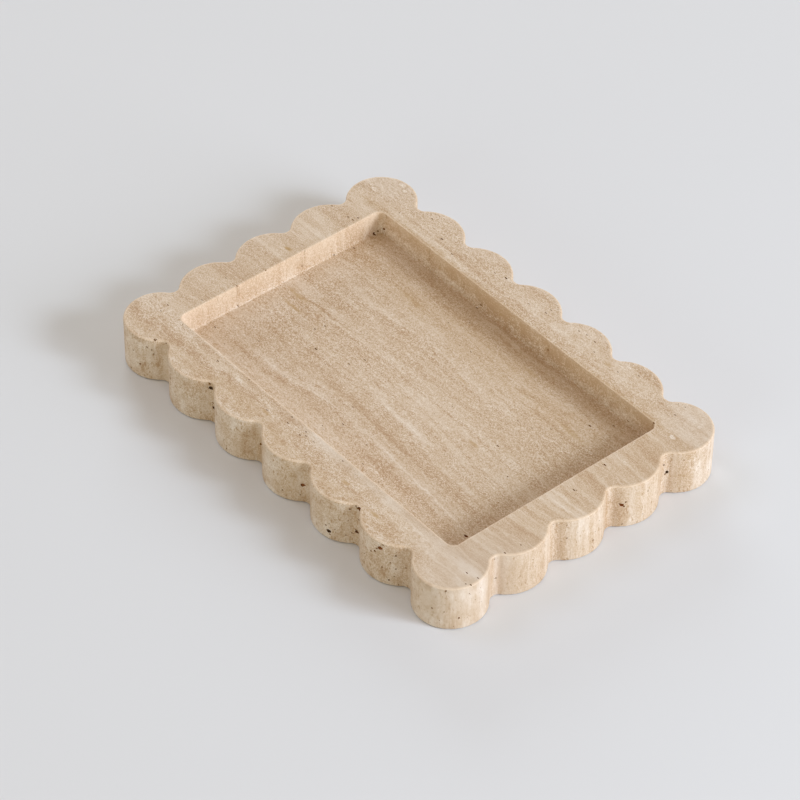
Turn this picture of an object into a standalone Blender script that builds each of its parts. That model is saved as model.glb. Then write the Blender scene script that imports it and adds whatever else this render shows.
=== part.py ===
"""A scalloped tray cut from one block of travertine, on four round non-slip pads.

Metres, +Z up. +X runs along the long side and +Y along the short side. The origin is the middle of
the footprint, on the surface that the tray stands on.
"""

import math
from collections import namedtuple

import bmesh
import bpy
from mathutils import Vector

# Overall size, pads included
TRAY_LENGTH = 0.290
TRAY_WIDTH = 0.2016
TRAY_HEIGHT = 0.030

# Scalloped outer wall: round lobes with small hollow arcs between them
CORNER_LOBE_RADIUS = 0.0207
SIDE_LOBE_RADIUS = 0.0228
VALLEY_RADIUS = 0.0052
LOBES_ON_LONG_SIDE = 5
LOBES_ON_SHORT_SIDE = 3
TOP_EDGE_RADIUS = 0.0010
BASE_EDGE_RADIUS = 0.0005

# Pocket sunk into the top
RIM_WIDTH = 0.0278
POCKET_DEPTH = 0.0155
POCKET_CORNER_RADIUS = 0.0045
POCKET_FLOOR_FILLET = 0.0008
POCKET_EDGE_RADIUS = 0.0005

# Non-slip pads, glued into shallow drilled seats in the underside, one under each corner lobe
PAD_RADIUS = 0.010
PAD_THICKNESS = 0.0014
PAD_STANDOUT = 0.0004
PAD_EDGE_RADIUS = 0.0002
GLUE_GAP = 0.0003

# How finely round shapes are faceted, and how far a cutter runs past the face that it cuts
CHORD_ERROR = 0.00006
EDGE_ROUND_STEPS = 3
FLOOR_FILLET_STEPS = 3
CUT_OVERRUN = 0.002
SMOOTH_SHADING_ANGLE = math.radians(30)

UP = Vector((0, 0, 1))
UNDERSIDE = PAD_STANDOUT
POCKET_FLOOR = TRAY_HEIGHT - POCKET_DEPTH
SEAT_ROOF = PAD_THICKNESS + GLUE_GAP
HALF_LENGTH = TRAY_LENGTH / 2
HALF_WIDTH = TRAY_WIDTH / 2

Lobe = namedtuple("Lobe", "centre radius")
# A positive sweep is a convex arc and a negative one is hollow, on a path that runs anticlockwise
Arc = namedtuple("Arc", "centre radius start sweep")


def clear_scene():
    for obj in list(bpy.data.objects):
        bpy.data.objects.remove(obj, do_unlink=True)


def principled(name, colour, roughness, metallic):
    material = bpy.data.materials.new(name)
    material.use_nodes = True
    shader = material.node_tree.nodes["Principled BSDF"]
    shader.inputs["Base Color"].default_value = (*colour, 1)
    shader.inputs["Roughness"].default_value = roughness
    shader.inputs["Metallic"].default_value = metallic
    return material


def angle_of(vector):
    return math.atan2(vector.y, vector.x)


def rectangle_corners(half_length, half_width):
    """The four corners, anticlockwise from the front right one."""
    return [
        Vector((half_length, -half_width, 0)),
        Vector((half_length, half_width, 0)),
        Vector((-half_length, half_width, 0)),
        Vector((-half_length, -half_width, 0)),
    ]


def corner_lobe_centres():
    return rectangle_corners(HALF_LENGTH - CORNER_LOBE_RADIUS, HALF_WIDTH - CORNER_LOBE_RADIUS)


def edge_lobes():
    """Every lobe of the outer wall, anticlockwise. Those of a side share the crown line of its corners."""
    corners = corner_lobe_centres()
    counts = [LOBES_ON_SHORT_SIDE, LOBES_ON_LONG_SIDE] * 2
    lobes = []
    for index, (corner, count) in enumerate(zip(corners, counts)):
        following = corners[(index + 1) % len(corners)]
        outward = (following - corner).normalized().cross(UP)
        crown_shift = outward * (CORNER_LOBE_RADIUS - SIDE_LOBE_RADIUS)
        lobes.append(Lobe(corner, CORNER_LOBE_RADIUS))
        for number in range(1, count + 1):
            on_side = corner.lerp(following, number / (count + 1))
            lobes.append(Lobe(on_side + crown_shift, SIDE_LOBE_RADIUS))
    return lobes


def valley_between(lobe, following):
    """Centre of the hollow arc that touches two neighbouring lobes from outside."""
    reach = lobe.radius + VALLEY_RADIUS
    next_reach = following.radius + VALLEY_RADIUS
    span = following.centre - lobe.centre
    forward = span.normalized()
    along = (span.length_squared + reach**2 - next_reach**2) / (2 * span.length)
    return lobe.centre + forward * along + forward.cross(UP) * math.sqrt(reach**2 - along**2)


def scalloped_arcs():
    """Lobes and valleys in turn, each starting where the last one ends."""
    lobes = edge_lobes()
    valleys = [valley_between(lobe, lobes[(i + 1) % len(lobes)]) for i, lobe in enumerate(lobes)]
    arcs = []
    for index, lobe in enumerate(lobes):
        valley = valleys[index]
        following = lobes[(index + 1) % len(lobes)]
        start = angle_of(valleys[index - 1] - lobe.centre)
        end = angle_of(valley - lobe.centre)
        arcs.append(Arc(lobe.centre, lobe.radius, start, (end - start) % math.tau))
        start = angle_of(lobe.centre - valley)
        end = angle_of(following.centre - valley)
        arcs.append(Arc(valley, VALLEY_RADIUS, start, -((start - end) % math.tau)))
    return arcs


def rounded_rectangle_arcs(half_length, half_width, radius):
    centres = rectangle_corners(half_length - radius, half_width - radius)
    quarter = math.pi / 2
    return [Arc(centre, radius, (turn - 1) * quarter, quarter) for turn, centre in enumerate(centres)]


def circle_arcs(radius):
    return [Arc(Vector(), radius, 0, math.tau)]


def arc_steps(arc):
    """Facets that keep an arc's chords within the chord error."""
    facet_angle = 2 * math.acos(1 - CHORD_ERROR / arc.radius)
    return math.ceil(abs(arc.sweep) / facet_angle)


def ring(arcs, inset, height, has_straights):
    """The outline drawn in by inset at a height. Arcs that meet share their end points."""
    points = []
    for arc in arcs:
        steps = arc_steps(arc)
        radius = arc.radius - inset if arc.sweep > 0 else arc.radius + inset
        for step in range(steps + 1 if has_straights else steps):
            angle = arc.start + arc.sweep * step / steps
            spoke = Vector((math.cos(angle), math.sin(angle), 0))
            points.append(arc.centre + spoke * radius + UP * height)
    return points


def quarter_round(radius, steps):
    """Distances from the wall and from the face along a rounded edge, from the face to the wall."""
    angles = [math.pi / 2 * step / steps for step in range(steps + 1)]
    return [(radius * (1 - math.sin(angle)), radius * (1 - math.cos(angle))) for angle in angles]


def lofted_object(name, arcs, profile, has_straights=False):
    """A closed solid through one ring for each (inset, height) of the profile, from the bottom up."""
    shape = bmesh.new()
    rings = [
        [shape.verts.new(point) for point in ring(arcs, inset, height, has_straights)]
        for inset, height in profile
    ]
    for lower, upper in zip(rings, rings[1:]):
        for here in range(len(lower)):
            shape.faces.new((lower[here - 1], lower[here], upper[here], upper[here - 1]))
    shape.faces.new(reversed(rings[0]))
    shape.faces.new(rings[-1])
    mesh = bpy.data.meshes.new(name)
    shape.to_mesh(mesh)
    shape.free()
    mesh.shade_smooth()
    mesh.set_sharp_from_angle(angle=SMOOTH_SHADING_ANGLE)
    obj = bpy.data.objects.new(name, mesh)
    bpy.context.scene.collection.objects.link(obj)
    return obj


def cut(obj, cutter):
    cutter.hide_render = True
    cutter.display_type = "WIRE"
    boolean = obj.modifiers.new(cutter.name, "BOOLEAN")
    boolean.operation = "DIFFERENCE"
    boolean.solver = "EXACT"
    boolean.object = cutter


def pocket_cutter():
    """The pocket's space: filleted floor, upright walls and a mouth that flares over the eased edge."""
    arcs = rounded_rectangle_arcs(
        HALF_LENGTH - RIM_WIDTH, HALF_WIDTH - RIM_WIDTH, POCKET_CORNER_RADIUS
    )
    fillet = quarter_round(POCKET_FLOOR_FILLET, FLOOR_FILLET_STEPS)
    mouth = quarter_round(POCKET_EDGE_RADIUS, EDGE_ROUND_STEPS)
    profile = [(inset, POCKET_FLOOR + rise) for inset, rise in fillet]
    profile += [(-spread, TRAY_HEIGHT - drop) for drop, spread in mouth]
    profile.append((-POCKET_EDGE_RADIUS, TRAY_HEIGHT + CUT_OVERRUN))
    return lofted_object("pocket_cutter", arcs, profile, has_straights=True)


def pad_seat_cutter(name, centre):
    arcs = circle_arcs(PAD_RADIUS + GLUE_GAP)
    seat = lofted_object(f"{name}_seat_cutter", arcs, [(0, UNDERSIDE - CUT_OVERRUN), (0, SEAT_ROOF)])
    seat.location = centre
    return seat


def stone_tray():
    base_edge = quarter_round(BASE_EDGE_RADIUS, EDGE_ROUND_STEPS)
    top_edge = quarter_round(TOP_EDGE_RADIUS, EDGE_ROUND_STEPS)
    profile = [(inset, UNDERSIDE + rise) for inset, rise in base_edge]
    profile += [(inset, TRAY_HEIGHT - drop) for inset, drop in reversed(top_edge)]
    tray = lofted_object("stone_tray", scalloped_arcs(), profile)
    tray.data.materials.append(principled("travertine", (0.60, 0.46, 0.33), 0.55, 0))
    cut(tray, pocket_cutter())
    return tray


def non_slip_pads(tray):
    """One disc at the middle of each corner lobe, with its seat in the stone."""
    names = ["pad_front_right", "pad_back_right", "pad_back_left", "pad_front_left"]
    rubber = principled("pad_rubber", (0.05, 0.048, 0.045), 0.8, 0)
    lower_edge = quarter_round(PAD_EDGE_RADIUS, EDGE_ROUND_STEPS)
    profile = [*lower_edge, (0, PAD_THICKNESS)]
    for name, centre in zip(names, corner_lobe_centres()):
        pad = lofted_object(name, circle_arcs(PAD_RADIUS), profile)
        pad.data.materials.append(rubber)
        pad.location = centre
        cut(tray, pad_seat_cutter(name, centre))


clear_scene()
non_slip_pads(stone_tray())
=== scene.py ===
import math
from collections import namedtuple

import bpy
from mathutils import Matrix, Vector
from mathutils.bvhtree import BVHTree


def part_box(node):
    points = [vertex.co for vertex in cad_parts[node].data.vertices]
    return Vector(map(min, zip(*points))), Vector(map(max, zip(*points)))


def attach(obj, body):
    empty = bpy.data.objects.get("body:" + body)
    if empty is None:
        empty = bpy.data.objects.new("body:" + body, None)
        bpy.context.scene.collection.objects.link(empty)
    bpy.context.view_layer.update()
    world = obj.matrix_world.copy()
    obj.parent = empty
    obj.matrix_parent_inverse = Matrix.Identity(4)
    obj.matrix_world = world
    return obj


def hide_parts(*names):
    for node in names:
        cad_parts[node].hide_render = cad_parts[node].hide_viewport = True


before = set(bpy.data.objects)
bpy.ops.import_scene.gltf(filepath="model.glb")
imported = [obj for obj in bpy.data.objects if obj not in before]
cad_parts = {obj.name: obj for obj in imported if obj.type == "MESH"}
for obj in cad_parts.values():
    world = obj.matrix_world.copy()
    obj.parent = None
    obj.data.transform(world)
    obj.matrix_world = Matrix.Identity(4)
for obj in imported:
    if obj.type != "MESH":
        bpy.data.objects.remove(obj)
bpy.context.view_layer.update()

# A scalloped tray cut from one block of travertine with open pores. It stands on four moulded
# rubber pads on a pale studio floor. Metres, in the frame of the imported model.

MM = 0.001

# The tray's sizes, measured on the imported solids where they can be. The last three say how many
# random pits a square metre has.
TRAY_LOW, TRAY_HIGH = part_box("stone_tray")
PAD_LOW, PAD_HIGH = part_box("pad_front_right")
GLUE_GAP = 0.3 * MM
TRAY_SIZES = {
    "Half Length": TRAY_HIGH[0],
    "Half Width": TRAY_HIGH[1],
    "Top": TRAY_HIGH[2],
    "Underside": TRAY_LOW[2],
    "Corner Lobe Radius": 20.7 * MM,
    "Side Lobe Radius": 22.8 * MM,
    "Valley Radius": 5.2 * MM,
    "Lobes On Long Side": 5,
    "Lobes On Short Side": 3,
    "Rim Width": 27.8 * MM,
    "Pocket Floor": TRAY_HIGH[2] - 15.5 * MM,
    "Pocket Corner Radius": 4.5 * MM,
    "Top Edge Radius": 1.0 * MM,
    "Base Edge Radius": 0.5 * MM,
    "Pocket Edge Radius": 0.5 * MM,
    "Floor Fillet": 0.8 * MM,
    "Wear Depth": 0.16 * MM,
    "Seat Radius": (PAD_HIGH[0] - PAD_LOW[0]) / 2 + GLUE_GAP,
    "Seat Roof": PAD_HIGH[2] + GLUE_GAP,
    "Unseen Pits": 4500.0,
    "Tiny Pits": 4000.0,
    "Wall Pits": 12000.0,
}

# How finely the stone is drawn
LOBE_STEPS = 40
VALLEY_STEPS = 14
EDGE_STEPS = 7
POCKET_STEP = 1.2 * MM
POCKET_CORNER_STEPS = 16
FLAT_BAND = 0.8 * MM
WELD = 0.01 * MM
SHARP_ANGLE = math.radians(35)

# The arris, worn unevenly by handling, and paler than the rest: partly pale wear, partly a painted
# highlight
WEAR_LENGTH = 4 * MM
WORN_LEVELS = (0.4, 0.75)
ARRIS_FADE = (0.6, 0.9)
ARRIS_DEPTH = 0.6

# Pits: their radii, how the random ones gather along the bedding and differ in size, and how all
# are stretched, turned, flattened across the bedding, lumpy and sunk. Each pit of the photograph
# has a small satellite close by.
HOLE = 1.2 * MM
LARGE_PIT = 0.785 * MM
MEDIUM_PIT = 0.57 * MM
SMALL_PIT = 0.445 * MM
TINY_PIT = 0.26 * MM
PIT_SEED = 4
PIT_BEDDING = (1 / 22, 1 / 7, 1 / 22)
PIT_LEVELS = (0.25, 0.6)
SMALLEST_PIT = 0.6
PIT_SPREAD = 1.3
PIT_STRETCHES = ((0.85, 1.5), (0.9, 1.2), (0.85, 1.25))
PIT_TILT = 0.5
PIT_HEADING = 0.25
PIT_FLATNESS = 0.55
PIT_FULLNESS = 0.4
LUMPS_PER_RADIUS = 0.9
PIT_LUMP = 0.55
PIT_SINK = 0.35
SATELLITES = 1
SATELLITE_REACH = (1.7, 1.2, 1.5)
SATELLITE_SIZE = (0.25, 0.6)

# The part of its normal toward the camera, or upward, below which a face is turned away or upright
TURNED_AWAY = 0.05
UPRIGHT = 0.3

# Pits that the photograph shows, at their pixels in its 800 by 800 frame
FRAME = 800
HOLE_PIXELS = [
    (466, 536), (214, 408), (211, 388), (303, 485), (359, 509), (357, 532), (329, 531), (380, 548),
    (622, 505), (667, 472), (374, 234),
]
LARGE_PIT_PIXELS = [
    (155, 340), (574, 490), (605, 465), (442, 239), (506, 278), (316, 349), (590, 426), (261, 444),
    (664, 465), (384, 229),
]
MEDIUM_PIT_PIXELS = [
    (215, 327), (168, 305), (218, 361), (267, 410), (288, 423), (292, 417), (300, 435), (306, 436),
    (505, 553), (467, 573), (478, 578), (471, 585), (446, 591), (654, 423), (675, 415), (348, 217),
    (353, 220), (358, 218), (432, 219), (452, 254), (546, 313), (595, 342), (237, 286), (378, 231),
    (354, 248), (334, 255), (302, 266), (238, 306), (325, 326), (315, 329), (365, 360), (349, 364),
    (343, 424), (481, 305), (477, 308), (614, 426), (498, 446), (213, 403), (210, 384), (140, 364),
    (350, 509), (359, 520), (375, 551), (396, 556), (389, 580), (459, 618), (496, 578), (593, 540),
    (620, 504), (626, 502), (648, 491), (665, 474),
]
SMALL_PIT_PIXELS = [
    (343, 461), (353, 407), (306, 432), (314, 442), (521, 545), (466, 584), (495, 559), (495, 273),
    (529, 304), (551, 310), (579, 331), (587, 335), (594, 352), (618, 372), (639, 376), (226, 278),
    (202, 300), (305, 251), (305, 279), (254, 321), (259, 341), (363, 464), (548, 350), (628, 421),
    (518, 421), (551, 429), (471, 352), (147, 347), (152, 350), (154, 354), (356, 506), (352, 533),
    (346, 535), (326, 525), (330, 534), (383, 545), (371, 551), (382, 567), (406, 568), (396, 569),
    (432, 608), (567, 538), (622, 524), (249, 380), (161, 311), (150, 330),
]

# The stone's colours, as linear light, and how red, green and blue follow a darker or paler tone
STONE = (0.62, 0.463, 0.31)
DARK_TINT = (0.74, 1.07, 1.40)
PALE_TINT = (0.69, 1.12, 1.9)
DARKEST_TONE = -0.38
CHALK = (0.625, 0.52, 0.425, 1)
# Pale, warm arris colour: partly wear, partly a painted highlight along the rounded edges
ARRIS_WEAR_AND_HIGHLIGHT = (0.84, 0.65, 0.46, 1)
ARRIS_WEAR_AND_HIGHLIGHT_SHARE = 0.38
HOLE_DARK = (0.06, 0.028, 0.011, 1)
HOLE_RED = (0.26, 0.085, 0.025, 1)
PIT_BROWN = (0.2, 0.084, 0.006, 1)
PIT_DUST = (0.36, 0.21, 0.1, 1)
RUBBER = (0.045, 0.043, 0.04, 1)
STONE_DUST = (0.16, 0.135, 0.11, 1)

# How pale the beds are across the tray: the place in mm, and 0.5 for the stone's usual tone
HALF_WIDTH_MM = 101
BEDS = [
    (-100, 0.52), (-90, 0.44), (-84, 0.48), (-78, 0.55), (-72, 0.59), (-62, 0.49), (-53, 0.42),
    (-45, 0.53), (-40, 0.50), (-32, 0.42), (-24, 0.49), (-18, 0.55), (-9, 0.50), (-3, 0.50),
    (3, 0.55), (12, 0.46), (24, 0.46), (32, 0.54), (41, 0.52), (48, 0.48), (60, 0.47), (72, 0.50),
    (80, 0.46), (84, 0.58), (92, 0.51), (100, 0.52),
]

# How far the beds wander, in mm, and how those under the middle of the pocket arch up
BED_STRENGTH = 0.6
DRIFT_REACH = 16
RIPPLE_REACH = 3.5
WOBBLE_REACH = 3
CELL_WOBBLE_REACH = 4
ARCH_RISE = 6
ARCH_MIDDLE = -30
ARCH_FADE_X = (80, 5)
ARCH_FADE_Y = (38, 8)

# The layers of the stone's pattern: a mark's lengths in mm, a shift that sets the layer apart, the
# noise's detail and roughness, and how much the layer changes the tone
Layer = namedtuple("Layer", "lengths shift detail roughness strength", defaults=(None, 2, 0.5, 1))
DRIFT = Layer((80, 50, 80), detail=1)
RIPPLE = Layer((14, 9, 14))
WOBBLE = Layer((3.2, 2.6, 3.2), roughness=0.6)
BANDS = Layer((120, 11, 120), roughness=0.6, strength=0.28)
STREAKS = Layer((85, 3.4, 85), detail=3, roughness=0.65, strength=0.17)
LAMINAE = Layer((36, 1.2, 36), roughness=0.6, strength=0.07)
BLOTCHES = Layer((16, 9, 16), (6, 2, 5), strength=0.3)
CLOUDS = Layer((7, 4, 7), detail=5, roughness=0.95, strength=0.45)
LUMPS = Layer((6, 4.5, 9), (2, 8, 3), roughness=0.6, strength=0.35)
FIBRES = Layer((5, 1.2, 5), roughness=0.7, strength=0.2)
CRUMBS = Layer((1.9, 1.5, 1.9), (9, 9, 1), 1, 0.6, 0.15)
GRAIN = Layer((0.75, 0.6, 0.75), detail=1, roughness=0.7, strength=1.38)
WORMS = Layer((2.2, 1.7, 2.2), (3, 1, 4), strength=0.05)
PALE_VEINS = Layer((60, 8, 60), (7, 3, 1), strength=0.12)
BROWN_VEINS = Layer((25, 4, 25), (1, 9, 4), strength=0.16)
MARKS = Layer((3, 1, 3), (2, 6, 3), 1)
CURLS = Layer((6, 3.5, 6), (4, 4, 9), strength=0.2)
PORES = Layer((1.2, 1, 2.6), (5, 1, 7), 1, strength=0.42)

# The areas in which some layers show, and the levels between which they fade in
PALE_VEIN_AREAS = Layer((35, 12, 35), (3, 1, 8), 1)
BROWN_VEIN_AREAS = Layer((12, 8, 12), (5, 5, 2), 1)
CURL_AREAS = Layer((9, 6, 9), (8, 2, 6), 1)
STAIN_AREAS = Layer((11, 5, 7), (1, 7, 4), 1, strength=0.23)
PORE_AREAS = Layer((8, 5, 14), (2, 2, 9), 1)
AREA_LEVELS = (0.48, 0.62)

# The levels of a noise at which its marks begin and end, and the widths of veins
STREAK_LEVELS = (0.3, 0.7)
DARK_MARKS = (0.6, 0.74)
PALE_MARKS = (0.4, 0.28)
OCHRE_MARKS = (0.7, 0.8)
PORE_LEVELS = (0.58, 0.68)
WORM_WIDTH = 0.12
PALE_VEIN_WIDTH = 0.022
BROWN_VEIN_WIDTH = 0.018
CURL_WIDTH = 0.04

# The insides of the pits, brown where their radius in mm is small, and the rubber
RED_HOLES = Layer((23, 23, 23), detail=1)
LINING_CRUMBS = Layer((0.5, 0.5, 0.5), roughness=0.7)
RUBBER_GRAIN = Layer((0.25, 0.25, 0.25), roughness=0.6)
RUBBER_DUST = Layer((2.5, 2.5, 2.5), detail=4, roughness=0.7)
RED_LEVELS = (0.45, 0.62)
BROWN_RADII = (1.0, 0.7)
CRUMB_LEVELS = (0.55, 0.8)
DUST_LEVELS = (0.5, 0.8)
DUST_SHARE = 0.5

# How rough each surface is and how much that varies, its sheen and the depth of its fine relief,
# and how much the grain and the clouds give to the stone's relief
Finish = namedtuple("Finish", "roughness variation specular relief")
STONE_FINISH = Finish(0.62, -0.3, 0.35, 0.08 * MM)
GRAIN_RELIEF = 0.6
CLOUD_RELIEF = 0.5
LINING_FINISH = Finish(0.8, 0.15, 0.1, 0.3 * MM)
RUBBER_FINISH = Finish(0.68, 0.2, 0.5, 0.03 * MM)

# How much more or less of a layer some parts of the tray have, and the tones of parts and marks
BANDS_AT_RIGHT = 0.3
STREAKS_AT_RIGHT = 0.7
STREAKS_ON_LONG_RIMS = -0.35
BLOTCHES_ON_LONG_RIMS = 0.1
BLOTCHES_AT_FRONT = 0.3
WORMS_ON_LONG_RIMS = 0.16
LUMPS_ON_LONG_RIMS = 0.15
LUMPS_AT_FRONT = 0.25
LUMPS_ON_BACK_WALL = 0.5
RIGHT_RIM_TONE = -0.05
OUTER_WALL_TONE = 0.02
DARK_MARK_TONE = -0.12
PALE_MARK_TONE = 0.1
OCHRE_MARK_SHARE = 0.5
CHALK_BELOW_TOP = 0.5
PORE_LOSS_BY_CHALK = 4

# Where on the tray the pattern changes, in mm from the middle and above the floor
TOP = (28.6, 29.4)
LONG_RIMS = (69, 75)
LONG_LOBES = (78, 88)
OUTER_SIDES = (80, 84)
OUTER_ENDS = (124, 128)
RIGHT_RIM = (112, 122)
RIGHT_LOBES = (136, 143)
TOWARD_FRONT = (40, -40)

# Streaks and patches, in mm: middle x and y, half length, half width, and how much paler they are.
# Some also have a middle z and a half height. They fade from a share of that size to their border.
# A few patches in the pocket are painted shade, and one is painted light, as marked below
Patch = namedtuple("Patch", "x y half_length half_width tone z half_height", defaults=(0, math.inf))
PATCH_FADE = (1, 0.2)


def patches(*rows):
    return [Patch(*row) for row in rows]


PATCHES = patches(
    (-70, 83.5, 85, 2.4, -0.05), (-65, 80.3, 75, 1.3, -0.14), (-35, 53, 50, 4.5, -0.07),
    (65, 47.5, 20, 3, -0.10), (38, 46, 26, 1.6, 0.12), (-5, 40, 75, 2.4, 0.06),
    # The middle patch on the next line, darker over the pocket floor by the back wall, is painted
    # shade
    (-60, 31, 45, 1.6, 0.12), (0, 72, 260, 16, -0.11, 13, 4), (15, 13, 55, 4, -0.07),
    (-60, 92, 60, 6, 0.07), (-62, -88, 44, 7, -0.13), (-20, 6.5, 55, 1.7, 0.12),
    (48, 3, 42, 2.2, -0.02), (84, 4, 28, 3, 0.03), (-88, 3.5, 42, 1.3, -0.34),
    (18, -23, 44, 3.6, 0.20), (-60, -20, 40, 1.5, 0.08), (5, -36, 100, 4.5, -0.11),
    (62, -46, 66, 1.1, 0.22), (-48, -47.5, 62, 1.1, 0.18), (0, -53, 125, 4, -0.07),
    (92, -78, 66, 5, 0.10), (-40, -77.5, 62, 3.5, -0.19), (15, -87, 66, 3.6, -0.03),
    (-95, -86, 36, 4, -0.07), (132, -88, 24, 14, 0.06), (-130, -89, 16, 8, -0.13),
    (40, 92, 40, 6, 0.04), (-128, 62, 22, 2, 0.06), (-128, -22, 20, 16, -0.11),
    (-130, 90, 22, 14, 0.08), (132, 88, 32, 20, 0.17), (136, 43, 18, 3, -0.12),
    # The last patch on the next line, paler below 22 mm at the -X end over the pocket floor and the
    # walls there, is painted light
    (0, 73, 140, 4.5, -0.12), (0, -101.5, 170, 4.5, 0.10), (-118, -18, 32, 80, 0.18, 11, 11),
    # The last patch on the next line, darker over the pocket floor at the foot of its +X wall, is
    # painted shade
    (2, -37, 55, 3.5, -0.18), (-119, 0, 5, 90, -0.06), (106, -5, 24, 100, -0.11, 14, 7),
    # The first patch on the next line, darker on the upper back wall of the pocket, is partly the
    # stone's tone and partly painted shade
    (0, 73, 260, 4.5, -0.08, 27, 8), (0, 73, 260, 6, 0.07, 18, 4), (134, -1, 18, 2, -0.12),
    (132, -4.5, 17, 0.9, 0.18), (134, -14, 20, 3.5, -0.08), (134, -33, 20, 6, -0.14),
    (134, -48, 18, 4, -0.11), (130, -57, 20, 2.5, 0.08),
)

# Ochre spots and chalky areas: their tone is the share of that colour
OCHRE = (0.47, 0.29, 0.115, 1)
# One ochre spot over the pocket floor by the back wall is painted shade, and one on the upper back
# wall is partly painted shade, as marked
OCHRE_SPOTS = patches(
    (-124, 10, 4.2, 2, 1), (-103, 1.5, 13, 2.6, 0.6), (-98, -8, 13, 2.2, 0.6),
    (53, -3, 6, 1.8, 0.5), (10, 27, 7, 1.3, 0.5), (44, -84, 5, 1.6, 0.6), (-25, -86, 6, 1.6, 0.6),
    (73, -89, 5, 1.5, 0.7), (-60, 49, 18, 2.8, 0.3), (80, 46, 16, 2.2, 0.35),
    (28, 62, 10, 1.7, 0.35), (64, 86, 3.5, 2.4, 0.45), (-20, -93, 150, 10, 0.16),
    # The last two spots on the next line: ochre on the upper back wall, partly the stone's tone and
    # partly painted shade, and ochre over the pocket floor by the back wall, which is painted shade
    (0, 50, 150, 22, 0.15), (0, 73, 260, 4.5, 0.34, 27, 9), (0, 72, 260, 16, 0.15, 13, 4),
)
CHALKY_PATCHES = patches(
    (145, -75, 60, 55, 0.27), (60, -75, 110, 7, 0.2), (136, 88, 38, 26, 0.22),
    (-130, 92, 28, 18, 0.12),
)

# Smooth and rough areas, and the pocket's back wall; the tone says how much. Pale bands and
# streaks are smooth too.
SMOOTH_PATCHES = patches((145, -75, 60, 55, 0.45), (60, -75, 110, 7, 0.3))
SMOOTH_RIGHT_RIM = 0.2
SMOOTH_RIGHT_LOBES = 0.15
SMOOTH_FRONT_WALL = 0.35
SMOOTH_BANDS = 1.6
SMOOTH_STREAKS = 0.5
ROUGH_PATCHES = patches((-102, 5, 38, 70, 0.35, 14, 8))
BACK_WALL = Patch(0, 73, 300, 6, 0.6, 24, 12)

# Pale cells with a brown border, on the top. Distances are in shares of the cell's own size.
CELL_FADE = (1, 0.5)
BORDER_STARTS = (0.8, 1.1)
BORDER_ENDS = (1.9, 1.2)
BORDER_TONE = 0.15
PALE_CELLS = patches(
    (128.8, 73, 2.5, 1.8, 0.5, 30, 4), (-126.3, 97.3, 2.6, 1.6, 0.26, 30, 4),
    (-121.3, 94.8, 1.8, 1.4, 0.26, 30, 4), (-134, 82.7, 3.2, 1.8, 0.2, 30, 4),
    (-138, 84, 1.6, 1.2, 0.14, 30, 4), (132.5, 89.7, 1.6, 1.2, 0.1, 30, 4),
)

# Pads
PAD_EDGE_RADIUS = 0.2 * MM
PAD_STEPS = 96
GRIP_GROOVES = 4
GROOVE_DEPTH = 0.25 * MM
GROOVE_ROUNDING = 0.08 * MM
GROOVE_STEPS = 2
GATE_MARK_RADIUS = 0.9 * MM
GATE_MARK_DEPTH = 0.12 * MM

# Camera, as the photograph was taken, and studio. Angles are in degrees, azimuths from +X.
AIM = Vector((-11.588, -0.335, 0)) * MM
CAMERA_DISTANCE = 2.10059
CAMERA_AZIMUTH = -40.4547
CAMERA_ELEVATION = 42.7899
CAMERA_ROLL = 0.69394
LENS = 170.3176
SENSOR = 36
CAMERA_REACH = 100
LIGHT_DISTANCE = 3.0
FLOOR_SIZE = 40
FLOOR = (0.738, 0.733, 0.729)
FLOOR_MOTTLE = 0.01
MOTTLES_PER_METRE = 3
FLOOR_ROUGHNESS = 0.9
FLOOR_SPECULAR = 0.2
BACKGROUND_GREY = 0.68
AMBIENT = (0.446, 0.381, 0.295)

Light = namedtuple("Light", "name azimuth elevation width watts")
LIGHTS = [
    Light("key_box", 20, 20, 1.65, (47, 50.7, 61)),
    Light("key_lamp", 30, 30, 0.75, (27, 32.3, 38)),
    Light("back_left_fill", 150, 12, 1.65, (34.9, 41, 46.8)),
    Light("front_fill", 288, 12, 1.65, (14.9, 19, 20.8)),
    Light("high_left_fill", 210, 50, 1.65, (11, 12.2, 15.5)),
]


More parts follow.
